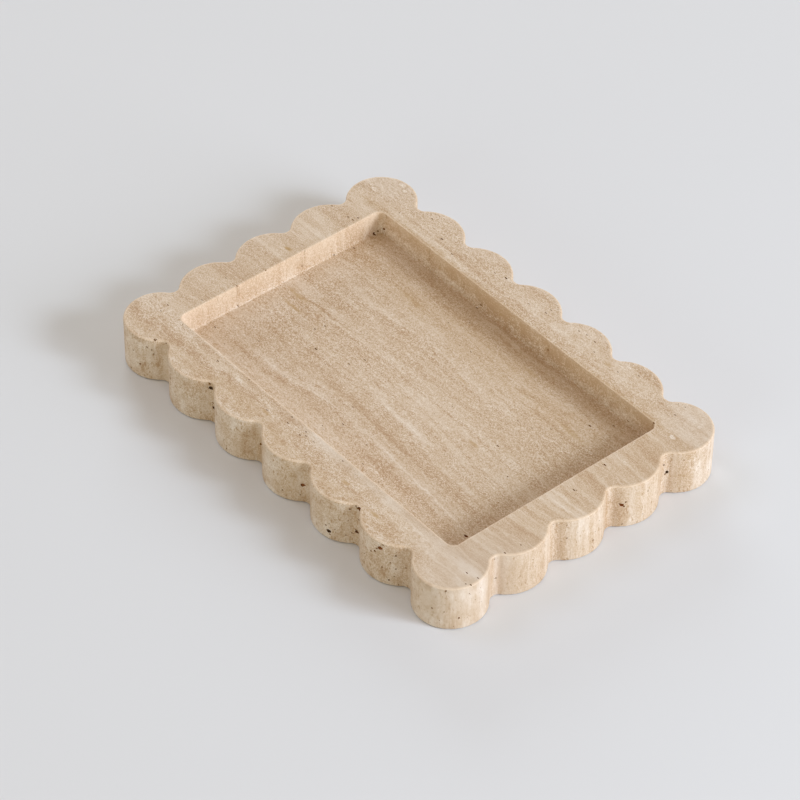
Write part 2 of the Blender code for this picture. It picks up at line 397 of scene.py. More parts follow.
class Field:
    """An output socket on which Python's operators add Math and Vector Math nodes."""

    def __init__(self, graph, socket):
        self.graph = graph
        self.socket = socket

    def other(self, output):
        """Another output of the same node."""
        return Field(self.graph, self.graph.find(self.socket.node.outputs, output))

    def math(self, operation, *values):
        operands = (self, *values)
        kind = "ShaderNodeMath"
        if any(is_vector(value) for value in operands):
            kind = "ShaderNodeVectorMath"
        return self.graph.node(kind, {"operation": operation}, dict(enumerate(operands)))

    def __add__(self, other):
        return self.math("ADD", other)

    def __sub__(self, other):
        return self.math("SUBTRACT", other)

    def __rsub__(self, other):
        return (self * -1) + other

    def __mul__(self, other):
        if is_vector(self) and not is_vector(other):
            sockets = {0: self, "Scale": other}
            return self.graph.node("ShaderNodeVectorMath", {"operation": "SCALE"}, sockets)
        if isinstance(other, Field) and is_vector(other) and not is_vector(self):
            return other * self
        return self.math("MULTIPLY", other)

    def __truediv__(self, other):
        return self.math("DIVIDE", other)

    def __rtruediv__(self, other):
        return self**-1 * other

    def __mod__(self, other):
        return self.math("FLOORED_MODULO", other)

    def __pow__(self, other):
        return self.math("POWER", other)

    def __gt__(self, other):
        return self.math("GREATER_THAN", other)

    def __lt__(self, other):
        return self.math("LESS_THAN", other)

    def __neg__(self):
        return self * -1

    __radd__ = __add__
    __rmul__ = __mul__

    def floor(self):
        return self.math("FLOOR")

    def absolute(self):
        return self.math("ABSOLUTE")

    def length(self):
        return self.graph.node("ShaderNodeVectorMath", {"operation": "LENGTH"}, {0: self}, "Value")

    def dot(self, other):
        settings = {"operation": "DOT_PRODUCT"}
        return self.graph.node("ShaderNodeVectorMath", settings, {0: self, 1: other}, "Value")

    def parts(self):
        """The three numbers of a vector."""
        x = self.graph.node("ShaderNodeSeparateXYZ", {}, {0: self})
        return x, x.other(1), x.other(2)

    def ramp(self, low, high):
        """0 at low and 1 at high, with a soft passage. Low may be the greater of the two."""
        settings = {"interpolation_type": "SMOOTHSTEP"}
        sockets = {"Value": self, "From Min": low, "From Max": high}
        return self.graph.node("ShaderNodeMapRange", settings, sockets)


def is_vector(value):
    if isinstance(value, Field):
        return value.socket.type in ("VECTOR", "RGBA")
    return isinstance(value, tuple)


class Graph:
    """Adds nodes to a tree. A socket takes a number, a tuple, a Field, or a list of Fields."""

    def __init__(self, tree):
        self.tree = tree

    def find(self, sockets, key):
        if isinstance(key, int):
            return sockets[key]
        return next(socket for socket in sockets if socket.enabled and socket.name == key)

    def feed(self, socket, value):
        for item in value if isinstance(value, list) else [value]:
            if isinstance(item, Field):
                self.tree.links.new(item.socket, socket)
            else:
                socket.default_value = item

    def node(self, kind, settings=None, sockets=None, output=0):
        node = self.tree.nodes.new(kind)
        for name, value in (settings or {}).items():
            setattr(node, name, value)
        for key, value in (sockets or {}).items():
            self.feed(self.find(node.inputs, key), value)
        if isinstance(output, str):
            return Field(self, self.find(node.outputs, output))
        usable = [socket for socket in node.outputs if socket.enabled]
        return Field(self, usable[output]) if usable else None

    def vector(self, x, y, z=0.0):
        return self.node("ShaderNodeCombineXYZ", {}, {"X": x, "Y": y, "Z": z})

    def mix(self, share, first, second, data_type="FLOAT"):
        sockets = {"Factor": share, "A": first, "B": second}
        settings = {"data_type": data_type, "clamp_factor": True}
        return self.node("ShaderNodeMix", settings, sockets, "Result")

    def noise(self, place, detail=0.0, roughness=0.5, output="Fac"):
        """Noise whose marks are about one unit of place across."""
        settings = {"noise_dimensions": "3D"}
        sockets = {"Vector": place, "Scale": 1.0, "Detail": detail, "Roughness": roughness}
        return self.node("ShaderNodeTexNoise", settings, sockets, output)

    def layer(self, in_mm, layer):
        """The noise of one layer of the stone's pattern, from 0 to 1."""
        place = in_mm * tuple(1 / length for length in layer.lengths)
        if layer.shift:
            place = place + layer.shift
        return self.noise(place, float(layer.detail), layer.roughness)


def added(name, data):
    """A new object in the scene."""
    thing = bpy.data.objects.new(name, data)
    bpy.context.scene.collection.objects.link(thing)
    return thing


# Making meshes


def geometry_tree(name, sizes):
    """A new tree with a geometry input and one named number input for each size."""
    tree = bpy.data.node_groups.new(name, "GeometryNodeTree")
    tree.interface.new_socket("Geometry", in_out="INPUT", socket_type="NodeSocketGeometry")
    tree.interface.new_socket("Geometry", in_out="OUTPUT", socket_type="NodeSocketGeometry")
    for size, value in sizes.items():
        kind = "NodeSocketInt" if isinstance(value, int) else "NodeSocketFloat"
        tree.interface.new_socket(size, in_out="INPUT", socket_type=kind)
    graph = Graph(tree)
    first = graph.node("NodeGroupInput")
    return graph, first, {size: first.other(size) for size in sizes}


def finish_tree(graph, geometry, *finishes):
    """Realizes, gives each material to its faces and ends the tree."""
    solid = realized(graph, geometry)
    for material, faces in finishes:
        sockets = {"Geometry": solid, "Material": material, "Selection": faces}
        solid = graph.node("GeometryNodeSetMaterial", {}, sockets)
    graph.node("NodeGroupOutput", {}, {"Geometry": solid})


def evaluated_piece(name, graph, sizes, start_mesh=None):
    """A plain mesh object made by a tree, with its sizes set and its modifier gone."""
    piece = added(name, start_mesh or bpy.data.meshes.new(name))
    modifier = piece.modifiers.new(name, "NODES")
    modifier.node_group = graph.tree
    for item in graph.tree.interface.items_tree:
        if item.in_out == "INPUT" and item.name in sizes:
            modifier[item.identifier] = sizes[item.name]
    depsgraph = bpy.context.evaluated_depsgraph_get()
    mesh = bpy.data.meshes.new_from_object(piece.evaluated_get(depsgraph), depsgraph=depsgraph)
    # The tree can leave an empty slot, which is taken out
    for number in reversed(range(len(mesh.materials))):
        if not mesh.materials[number]:
            mesh.materials.pop(index=number)
    piece.modifiers.clear()
    piece.data = mesh
    mesh.name = name
    return piece


def stored(graph, geometry, name, value, domain="POINT"):
    """The geometry with a named value on it."""
    settings = {"data_type": "FLOAT", "domain": domain}
    sockets = {"Geometry": geometry, "Name": name, "Value": value}
    return graph.node("GeometryNodeStoreNamedAttribute", settings, sockets)


def read(graph, name):
    """A named value of the geometry."""
    return graph.node("GeometryNodeInputNamedAttribute", {"data_type": "FLOAT"}, {"Name": name})


def point_curve(graph, count, position, cyclic):
    """A curve of straight runs through a number of points, whose place is a rule of their index."""
    points = graph.node("GeometryNodePoints", {}, {"Count": count, "Position": position})
    curve = graph.node("GeometryNodePointsToCurves", {}, {"Points": points})
    return graph.node("GeometryNodeSetSplineCyclic", {}, {"Geometry": curve, "Cyclic": cyclic})


def by_index(graph, values, kind):
    """A value for each point in turn."""
    index = graph.node("GeometryNodeInputIndex")
    result = graph.node("GeometryNodeIndexSwitch", {"data_type": kind}, {"Index": index})
    switch = result.socket.node
    while len(switch.index_switch_items) < len(values):
        switch.index_switch_items.new()
    for number, value in enumerate(values):
        graph.feed(graph.find(switch.inputs, str(number)), value)
    return result


def swept_wall(graph, outline, corners, steps=EDGE_STEPS):
    """A wall round an outline. Each corner of its section is (inset, height, rounding)."""
    places = [graph.vector(-inset, -height) for inset, height, rounding in corners]
    line = point_curve(graph, len(corners), by_index(graph, places, "VECTOR"), False)
    roundings = by_index(graph, [rounding for inset, height, rounding in corners], "FLOAT")
    sockets = {"Curve": line, "Radius": roundings, "Count": steps, "Limit Radius": False}
    section = graph.node("GeometryNodeFilletCurve", {"mode": "POLY"}, sockets)
    return graph.node("GeometryNodeCurveToMesh", {}, {"Curve": outline, "Profile Curve": section})


def joined(graph, meshes):
    return graph.node("GeometryNodeJoinGeometry", {}, {"Geometry": meshes})


def moved(graph, mesh, offset):
    return graph.node("GeometryNodeSetPosition", {}, {"Geometry": mesh, "Offset": offset})


def realized(graph, instances):
    return graph.node("GeometryNodeRealizeInstances", {}, {"Geometry": instances})


def own_place(graph):
    return graph.node("GeometryNodeInputPosition")


def open_edges(graph):
    """1 on an edge that has a face on one side only."""
    return graph.node("GeometryNodeInputMeshEdgeNeighbors") < 1.5


def flat_cap(graph, walls, height, facing_down=False):
    """A flat face that closes the open edges of some walls at a height."""
    level = own_place(graph).parts()[2]
    edge = open_edges(graph) * ((level - height).absolute() < WELD)
    rim = graph.node("GeometryNodeMeshToCurve", {}, {"Mesh": walls, "Selection": edge})
    cap = graph.node("GeometryNodeFillCurve", {"mode": "NGONS"}, {"Curve": rim})
    cap = moved(graph, cap, graph.vector(0.0, 0.0, height))
    return graph.node("GeometryNodeFlipFaces", {}, {"Mesh": cap}) if facing_down else cap


# The stone


Round = namedtuple("Round", "centre radius")


def scalloped_outline(graph, size):
    """A closed curve of lobes and the hollows between them, anticlockwise from the front right."""
    corner_radius = size["Corner Lobe Radius"]
    valley_radius = size["Valley Radius"]
    short_count = size["Lobes On Short Side"]
    long_count = size["Lobes On Long Side"]
    half_count = short_count + long_count + 2
    corner_x = size["Half Length"] - corner_radius
    corner_y = size["Half Width"] - corner_radius

    def lobe(number):
        place = number % half_count
        turn = 1 - ((number / half_count).floor() % 2) * 2
        on_long = place > short_count + 0.5
        step = place - on_long * (short_count + 1)
        share = step * 2 / (graph.mix(on_long, short_count, long_count) + 1)
        radius = graph.mix(step < 0.5, size["Side Lobe Radius"], corner_radius)
        outward = corner_radius - radius
        x = graph.mix(on_long, corner_x + outward, corner_x * (1 - share))
        y = graph.mix(on_long, corner_y * (share - 1), corner_y + outward)
        return Round(graph.vector(x * turn, y * turn), radius)

    def valley_between(here, following):
        reach = here.radius + valley_radius
        next_reach = following.radius + valley_radius
        span = following.centre - here.centre
        distance = span.length()
        forward = span * (1 / distance)
        along = (distance**2 + reach**2 - next_reach**2) / (distance * 2)
        rise = (reach**2 - along**2).math("SQRT")
        return here.centre + forward * along + forward.math("CROSS_PRODUCT", (0, 0, 1)) * rise

    def direction(centre, point):
        x, y, z = (point - centre).parts()
        return y.math("ARCTAN2", x)

    def arc_point(centre, radius, start, end, share, turn):
        """A point on the arc from the way to start to the way to end, clockwise if turn is -1."""
        first_angle = direction(centre, start)
        sweep = ((direction(centre, end) - first_angle) * turn) % math.tau
        angle = first_angle + sweep * share * turn
        return centre + graph.vector(angle.math("COSINE"), angle.math("SINE")) * radius

    index = graph.node("GeometryNodeInputIndex")
    steps = LOBE_STEPS + VALLEY_STEPS
    number = (index / steps).floor()
    step = index % steps
    before, here, following = lobe(number - 1), lobe(number), lobe(number + 1)
    last_valley = valley_between(before, here)
    valley = valley_between(here, following)
    on_lobe = arc_point(here.centre, here.radius, last_valley, valley, step / LOBE_STEPS, 1)
    share = (step - LOBE_STEPS) / VALLEY_STEPS
    in_valley = arc_point(valley, valley_radius, here.centre, following.centre, share, -1)
    position = graph.mix(step > LOBE_STEPS - 0.5, on_lobe, in_valley, "VECTOR")
    return point_curve(graph, half_count * 2 * steps, position, True)


def pocket_outline(graph, size):
    half_x = size["Half Length"] - size["Rim Width"]
    half_y = size["Half Width"] - size["Rim Width"]
    sockets = {"Width": half_x * 2, "Height": half_y * 2}
    rectangle = graph.node("GeometryNodeCurvePrimitiveQuadrilateral", {}, sockets)
    sockets = {"Curve": rectangle, "Radius": size["Pocket Corner Radius"], "Limit Radius": False}
    sockets["Count"] = POCKET_CORNER_STEPS
    rounded = graph.node("GeometryNodeFilletCurve", {"mode": "POLY"}, sockets)
    sockets = {"Curve": rounded, "Length": POCKET_STEP}
    return graph.node("GeometryNodeResampleCurve", {"mode": "LENGTH"}, sockets)


def worn(graph, mesh, size):
    """The stone with its arrises rubbed down a little, more in some places than in others."""
    normal = graph.node("GeometryNodeInputNormal")
    tilt = normal.parts()[2] ** 2
    on_edge = tilt * (1 - tilt) * 4
    wear = graph.noise(own_place(graph) * (1 / WEAR_LENGTH), 3.0, 0.6).ramp(*WORN_LEVELS)
    return moved(graph, mesh, normal * (on_edge * wear * size["Wear Depth"] * -1))


def block(graph, size):
    """The closed tray, without its pits and the seats of its pads."""
    band = FLAT_BAND
    top = size["Top"]
    underside = size["Underside"]
    top_edge = size["Top Edge Radius"]
    base_edge = size["Base Edge Radius"]
    outer = [
        (top_edge + band, top, 0.0),
        (0.0, top, top_edge),
        (0.0, underside, base_edge),
        (base_edge + band, underside, 0.0),
    ]
    floor = size["Pocket Floor"]
    fillet = size["Floor Fillet"]
    mouth = size["Pocket Edge Radius"]
    inner = [
        (fillet + band, floor, 0.0),
        (0.0, floor, fillet),
        (0.0, top, mouth),
        (-(mouth + band), top, 0.0),
    ]
    outer_wall = swept_wall(graph, scalloped_outline(graph, size), outer)
    pocket_wall = swept_wall(graph, pocket_outline(graph, size), inner)
    walls = joined(graph, [outer_wall, pocket_wall])
    # Where the top's edges are painted paler, partly as wear and partly as a painted highlight
    walls = stored(graph, walls, "arris", arris_share(graph, top, top_edge))
    upward_caps = [flat_cap(graph, walls, top), flat_cap(graph, walls, floor)]
    base = flat_cap(graph, walls, underside, facing_down=True)
    closed = joined(graph, [walls, *upward_caps, base])
    closed = graph.node("GeometryNodeMergeByDistance", {}, {"Geometry": closed, "Distance": WELD})
    return worn(graph, closed, size)


def arris_share(graph, top, edge):
    """Painted highlight and pale wear on the top's arris: 1 on the rounded edges round the top,
    fading to 0 at the open borders of the flat bands.
    """
    inner = 1 - open_edges(graph)
    settings = {"data_type": "FLOAT", "domain": "POINT"}
    inside = graph.node("GeometryNodeFieldOnDomain", settings, {0: inner})
    level = own_place(graph).parts()[2]
    return inside.ramp(*ARRIS_FADE) * (level > top - edge * ARRIS_DEPTH)


def pad_seats(graph, size):
    """Four drilled seats, one in the middle of each corner lobe."""
    across = size["Half Length"] - size["Corner Lobe Radius"]
    along = size["Half Width"] - size["Corner Lobe Radius"]
    index = graph.node("GeometryNodeInputIndex")
    x = across * (1 - (index % 2) * 2)
    y = along * (1 - (index > 1.5) * 2)
    corners = graph.node("GeometryNodePoints", {}, {"Count": 4, "Position": graph.vector(x, y)})
    sockets = {"Vertices": PAD_STEPS, "Radius": size["Seat Radius"], "Depth": size["Seat Roof"] * 2}
    drill = graph.node("GeometryNodeMeshCylinder", {"fill_type": "NGON"}, sockets)
    seats = graph.node("GeometryNodeInstanceOnPoints", {}, {"Points": corners, "Instance": drill})
    return stored(graph, realized(graph, seats), "pit", 0.0, "FACE")


def random_value(graph, low, high, seed):
    """A random number for each point. Each use has a seed of its own."""
    return graph.node("FunctionNodeRandomValue", {}, {"Min": low, "Max": high, "Seed": seed})


def scattered(graph, stone, selection, density, radius, seed):
    """Random points for pits, gathered along the bedding, each with its radius."""
    sockets = {"Mesh": stone, "Selection": selection, "Density": density, "Seed": seed}
    points = graph.node("GeometryNodeDistributePointsOnFaces", {}, sockets)
    bedding = graph.noise(own_place(graph) * PIT_BEDDING * 1000, 2.0)
    dropped = random_value(graph, *PIT_LEVELS, seed + 1) > bedding
    sockets = {"Geometry": points, "Selection": dropped}
    points = graph.node("GeometryNodeDeleteGeometry", {"domain": "POINT"}, sockets)
    spread = random_value(graph, 0.0, 1.0, seed + 2) ** 3
    return stored(graph, points, "pit_radius", radius * (SMALLEST_PIT + spread * PIT_SPREAD))


def on_surface(graph, stone, value):
    """The value that the stone's surface has where it is nearest to each point."""
    settings = {"data_type": "FLOAT_VECTOR"}
    sockets = {"Mesh": stone, "Value": value}
    return graph.node("GeometryNodeSampleNearestSurface", settings, sockets)


def crumbled(graph, stone, points):
    """The points, with a smaller one on the stone close by each."""
    sockets = {"Geometry": points, "Amount": SATELLITES}
    copies = graph.node("GeometryNodeDuplicateElements", {"domain": "POINT"}, sockets)
    radius = read(graph, "pit_radius")
    seeds = (31, 32, 33)
    reaches = [random_value(graph, -far, far, seed) for far, seed in zip(SATELLITE_REACH, seeds)]
    copies = moved(graph, copies, graph.vector(*reaches) * radius)
    nearest = on_surface(graph, stone, own_place(graph))
    copies = graph.node("GeometryNodeSetPosition", {}, {"Geometry": copies, "Position": nearest})
    smaller = radius * random_value(graph, *SATELLITE_SIZE, 34)
    return joined(graph, [points, stored(graph, copies, "pit_radius", smaller)])


def pits(graph, stone, seen_points, size, toward_camera):
    """Lumpy hollows: those of the photograph, and random ones."""
    facing = graph.node("GeometryNodeInputNormal").dot(toward_camera)
    seen = graph.node("GeometryNodeMeshToPoints", {}, {"Mesh": seen_points})
    away = facing < TURNED_AWAY
    unseen = scattered(graph, stone, away, size["Unseen Pits"], MEDIUM_PIT, PIT_SEED)
    tiny = scattered(graph, stone, True, size["Tiny Pits"], TINY_PIT, PIT_SEED + 10)
    outer = outer_wall_share(graph, size)
    on_wall = scattered(graph, stone, outer, size["Wall Pits"], TINY_PIT, PIT_SEED + 20)
    seen = crumbled(graph, stone, seen)
    larger = lumpy_balls(graph, stone, joined(graph, [seen, unseen]), 2)
    smaller = lumpy_balls(graph, stone, joined(graph, [tiny, on_wall]), 1)
    hollows = stored(graph, joined(graph, [larger, smaller]), "pit", 1.0, "FACE")
    return stored(graph, hollows, "pit_radius_mm", read(graph, "pit_radius") * 1000, "FACE")


def outer_wall_share(graph, size):
    """1 on the scalloped wall and 0 elsewhere."""
    x, y, z = own_place(graph).parts()
    half_rim = size["Rim Width"] / 2
    past_end = x.absolute() > size["Half Length"] - half_rim
    past_side = y.absolute() > size["Half Width"] - half_rim
    upright = graph.node("GeometryNodeInputNormal").parts()[2].absolute() < UPRIGHT
    return past_end.math("MAXIMUM", past_side) * upright


def lumpy_balls(graph, stone, points, subdivisions):
    """A lumpy ball on each point, sunk more or less into the stone."""
    radius = read(graph, "pit_radius")
    normal = on_surface(graph, stone, graph.node("GeometryNodeInputNormal"))
    sink = normal * (radius * random_value(graph, -PIT_SINK, PIT_SINK, 26))
    points = moved(graph, points, sink)
    flatness = PIT_FLATNESS + normal.parts()[1].absolute() * PIT_FULLNESS
    stretches = zip(PIT_STRETCHES, (21, 22, 23))
    long, wide, high = [random_value(graph, *stretch, seed) for stretch, seed in stretches]
    stretch = graph.vector(long, wide * flatness, high)
    tilt = random_value(graph, -PIT_TILT, PIT_TILT, 24)
    heading = random_value(graph, -PIT_HEADING, PIT_HEADING, 25)
    turn = graph.vector(0.0, tilt, heading)
    turn = graph.node("FunctionNodeEulerToRotation", {}, {"Euler": turn})
    sockets = {"Radius": 1.0, "Subdivisions": subdivisions}
    ball = graph.node("GeometryNodeMeshIcoSphere", {}, sockets)
    sockets = {"Points": points, "Instance": ball, "Scale": stretch * radius, "Rotation": turn}
    balls = graph.node("GeometryNodeInstanceOnPoints", {}, sockets)
    lump = graph.noise(own_place(graph) * (LUMPS_PER_RADIUS / radius), 1.0, 0.5, "Color")
    lump = lump - (0.5, 0.5, 0.5)
    return moved(graph, realized(graph, balls), lump * (radius * PIT_LUMP * 2))


def cut(graph, mesh, cutters):
    """The mesh without what the cutters take up. The cutters may overlap."""
    settings = {"operation": "DIFFERENCE", "solver": "EXACT"}
    sockets = {"Mesh 1": mesh, "Mesh 2": cutters, "Self Intersection": True}
    return graph.node("GeometryNodeMeshBoolean", settings, sockets)


def soft_shaded(graph, mesh):
    """Smooth faces that meet sharply at a real edge and at the rim of a pit."""
    sockets = {"Geometry": mesh, "Shade Smooth": True}
    smooth = graph.node("GeometryNodeSetShadeSmooth", {"domain": "FACE"}, sockets)
    angle = graph.node("GeometryNodeInputMeshEdgeAngle")
    pit_rim = (read(graph, "pit") - 0.5).absolute() < 0.4
    sharp = (angle > SHARP_ANGLE).math("MAXIMUM", pit_rim)
    sockets = {"Geometry": smooth, "Selection": sharp, "Shade Smooth": False}
    return graph.node("GeometryNodeSetShadeSmooth", {"domain": "EDGE"}, sockets)


def stone_tray(stone, lining, camera):
    """The whole stone, with its pits lined and the seats of its pads drilled."""
    graph, first, size = geometry_tree("travertine_tray", TRAY_SIZES)
    body = stored(graph, block(graph, size), "pit", 0.0, "FACE")
    cutters = pits(graph, body, first, size, tuple(camera.matrix_world.col[2][:3]))
    body = cut(graph, body, [pad_seats(graph, size), cutters])
    body = soft_shaded(graph, body)
    finish_tree(graph, body, (stone, True), (lining, read(graph, "pit") > 0.5))
    return evaluated_piece("travertine_tray", graph, TRAY_SIZES, seen_pit_points(camera))


def seen_pit_points(camera):
    """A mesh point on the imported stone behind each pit's pixel, with the pit's radius."""
    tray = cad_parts["stone_tray"]
    surface = BVHTree.FromObject(tray, bpy.context.evaluated_depsgraph_get())
    eye = camera.matrix_world.translation
    groups = [
        (HOLE_PIXELS, HOLE),
        (LARGE_PIT_PIXELS, LARGE_PIT),
        (MEDIUM_PIT_PIXELS, MEDIUM_PIT),
        (SMALL_PIT_PIXELS, SMALL_PIT),
    ]
    places = []
    radii = []
    for pixels, radius in groups:
        for across, down in pixels:
            side = (across / FRAME - 0.5) * SENSOR / LENS
            rise = (0.5 - down / FRAME) * SENSOR / LENS
            ray = camera.matrix_world.to_3x3() @ Vector((side, rise, -1))
            hit = surface.ray_cast(eye, ray.normalized())[0]
            if hit:
                places.append(hit)
                radii.append(radius)
    mesh = bpy.data.meshes.new("seen_pits")
    mesh.from_pydata(places, [], [])
    mesh.attributes.new("pit_radius", "FLOAT", "POINT").data.foreach_set("value", radii)
    return mesh


# Materials


def shader_graph(name):
    material = bpy.data.materials.new(name)
    material.use_nodes = True
    material.node_tree.nodes.clear()
    graph = Graph(material.node_tree)
    place = graph.node("ShaderNodeTexCoord", {}, {}, "Object")
    return material, graph, place


def finish_shader(graph, sockets):
    shader = graph.node("ShaderNodeBsdfPrincipled", {}, sockets)
    graph.node("ShaderNodeOutputMaterial", {}, {"Surface": shader})


def finish_surface(graph, colour, finish, unevenness, height):
    """Ends a material whose roughness follows the unevenness, and its fine relief the height."""
    sockets = {"Height": height, "Distance": finish.relief, "Strength": 1.0}
    relief = graph.node("ShaderNodeBump", {}, sockets)
    roughness = unevenness * finish.variation + finish.roughness
    sockets = {"Base Color": colour, "Roughness": roughness, "Normal": relief}
    sockets["Specular IOR Level"] = finish.specular
    finish_shader(graph, sockets)


Areas = namedtuple(
    "Areas", "top long_rims walls outer back_wall right_rim right_lobes lobes front chalky"
)


def stone_areas(graph, in_mm, bent):
    """How far a place lies in each area of the tray in which the pattern changes."""
    x, y, z = bent.parts()
    top = z.ramp(*TOP)
    long_rims = y.absolute().ramp(*LONG_RIMS)
    outline = y.absolute().ramp(*OUTER_SIDES).math("MAXIMUM", x.absolute().ramp(*OUTER_ENDS))
    chalky = with_patches(0, in_mm, CHALKY_PATCHES)
    return Areas(
        top=top,
        long_rims=long_rims,
        walls=long_rims * (1 - top),
        outer=outline * (1 - top),
        back_wall=patch_mask(in_mm, BACK_WALL),
        right_rim=x.ramp(*RIGHT_RIM),
        right_lobes=x.ramp(*RIGHT_LOBES),
        lobes=y.absolute().ramp(*LONG_LOBES),
        front=y.ramp(*TOWARD_FRONT),
        chalky=chalky * (CHALK_BELOW_TOP + top * (1 - CHALK_BELOW_TOP)),
    )


def coarseness(graph, in_mm, areas, beds, bands, streaks):
    """How rough the stone looks: less in pale beds and in smooth areas."""
    smooth = with_patches(areas.right_rim * SMOOTH_RIGHT_RIM, in_mm, SMOOTH_PATCHES)
    smooth = smooth + areas.right_lobes * SMOOTH_RIGHT_LOBES
    smooth = smooth + areas.walls * areas.front * SMOOTH_FRONT_WALL
    coarse = (1 - (bands * SMOOTH_BANDS + streaks * SMOOTH_STREAKS + beds)) * (1 - smooth)
    coarse = with_patches(coarse, in_mm, ROUGH_PATCHES)
    return coarse + areas.back_wall * BACK_WALL.tone


def veined(graph, tone, in_mm, bent, areas, coarse):
    """The tone with pale and brown veins and, on the lobes of the long sides, curls."""
    pale_veins = vein(graph, bent, PALE_VEINS, PALE_VEIN_WIDTH)
    brown_veins = vein(graph, bent, BROWN_VEINS, BROWN_VEIN_WIDTH)
    curls = vein(graph, in_mm, CURLS, CURL_WIDTH) * areas.lobes
    tone = tone + pale_veins * spots(graph, in_mm, PALE_VEIN_AREAS) * PALE_VEINS.strength
    tone = tone - brown_veins * spots(graph, in_mm, BROWN_VEIN_AREAS) * BROWN_VEINS.strength
    return tone - curls * spots(graph, in_mm, CURL_AREAS) * coarse * CURLS.strength


def weathered(graph, tone, in_mm, areas, lumps):
    """The tone with the stains of the pocket's back wall and the pores of the outer wall."""
    stains = spots(graph, in_mm, STAIN_AREAS) * STAIN_AREAS.strength
    tone = tone + areas.back_wall * (lumps * LUMPS_ON_BACK_WALL - stains)
    pores = graph.layer(in_mm, PORES).ramp(*PORE_LEVELS) * spots(graph, in_mm, PORE_AREAS)
    tone = tone - pores * areas.outer * (1 - areas.chalky * PORE_LOSS_BY_CHALK) * PORES.strength
    return tone + areas.outer * OUTER_WALL_TONE


def with_pale_cells(tone, place):
    """The tone with the pale cells and their brown borders."""
    for cell in PALE_CELLS:
        distance = patch_distance(place, cell)
        border = distance.ramp(*BORDER_ENDS) * distance.ramp(*BORDER_STARTS)
        tone = tone + distance.ramp(*CELL_FADE) * cell.tone - border * BORDER_TONE
    return tone


def travertine(name):
    """Honed travertine whose bedding planes stand upright, along the tray's long side."""
    material, graph, place = shader_graph(name)
    in_mm = place * 1000
    bent = in_mm + graph.vector(0.0, bending(graph, in_mm))
    wobble = graph.layer(in_mm, WOBBLE) - 0.5
    ragged = bent + graph.vector(0.0, wobble * WOBBLE_REACH)
    areas = stone_areas(graph, in_mm, bent)
    beds = bed_ramp(graph, bent.parts()[1]) * BED_STRENGTH
    # The patches add marks of the stone and, in the pocket, some painted shade and painted light
    beds = with_patches(beds, ragged, PATCHES)
    bands = graph.layer(bent, BANDS) - 0.5
    streaks = graph.layer(ragged, STREAKS).ramp(*STREAK_LEVELS) - 0.5
    laminae = graph.layer(ragged, LAMINAE).ramp(*STREAK_LEVELS) - 0.5
    blotches = graph.layer(in_mm, BLOTCHES) - 0.5
    clouds = graph.layer(bent, CLOUDS) - 0.5
    lumps = graph.layer(in_mm, LUMPS) - 0.5
    fibres = graph.layer(ragged, FIBRES) - 0.5
    crumbs = graph.layer(in_mm, CRUMBS) - 0.5
    grain = graph.layer(in_mm, GRAIN) - 0.5
    worms = vein(graph, in_mm, WORMS, WORM_WIDTH) - 0.5
    marks = graph.layer(bent, MARKS)
    coarse = coarseness(graph, in_mm, areas, beds, bands, streaks)

    # The wide marks, which are stronger on some parts of the rim
    tone = beds + bands * (BANDS.strength + areas.right_rim * BANDS_AT_RIGHT)
    streakiness = 1 + areas.long_rims * STREAKS_ON_LONG_RIMS + areas.right_rim * STREAKS_AT_RIGHT
    tone = tone + streaks * streakiness * STREAKS.strength
    tone = tone + areas.right_rim * areas.top * RIGHT_RIM_TONE
    more = areas.long_rims * (areas.front * BLOTCHES_AT_FRONT + BLOTCHES_ON_LONG_RIMS)
    tone = tone + blotches * (BLOTCHES.strength + more)
    tone = tone + clouds * CLOUDS.strength + lumps * areas.walls * LUMPS.strength

    # The fine marks, which show where the stone is rough
    fine = laminae * LAMINAE.strength + fibres * FIBRES.strength
    fine = fine + crumbs * CRUMBS.strength + grain * GRAIN.strength
    tone = tone + fine * coarse
    rim_marks = worms * (WORMS.strength + areas.long_rims * WORMS_ON_LONG_RIMS)
    more = areas.front * LUMPS_AT_FRONT + LUMPS_ON_LONG_RIMS
    tone = tone + (rim_marks + lumps * areas.long_rims * more) * coarse
    tone = tone + marks.ramp(*DARK_MARKS) * coarse * DARK_MARK_TONE
    tone = tone + marks.ramp(*PALE_MARKS) * PALE_MARK_TONE
    tone = veined(graph, tone, in_mm, bent, areas, coarse)
    tone = weathered(graph, tone, in_mm, areas, lumps)
    tone = with_pale_cells(tone, in_mm + graph.vector(0.0, wobble * CELL_WOBBLE_REACH))

    # The colours
    darker = tone.math("MINIMUM", 0.0).math("MAXIMUM", DARKEST_TONE) * DARK_TINT
    paler = tone.math("MAXIMUM", 0.0) * PALE_TINT
    colour = (darker + paler + (1, 1, 1)) * STONE
    colour = graph.mix(areas.chalky, colour, CHALK, "RGBA")
    # Ochre marks and spots, with some painted shade by the pocket's back wall
    ochre = with_patches(marks.ramp(*OCHRE_MARKS) * OCHRE_MARK_SHARE, bent, OCHRE_SPOTS)
    colour = graph.mix(ochre, colour, OCHRE, "RGBA")
    # The arris painted paler and warmer: partly wear, partly a painted highlight
    arris = graph.node("ShaderNodeAttribute", {"attribute_name": "arris"}, {}, "Fac")
    colour = graph.mix(arris * ARRIS_WEAR_AND_HIGHLIGHT_SHARE, colour, ARRIS_WEAR_AND_HIGHLIGHT, "RGBA")
    relief = grain * GRAIN_RELIEF + clouds * CLOUD_RELIEF
    finish_surface(graph, colour, STONE_FINISH, clouds, relief)
    return material


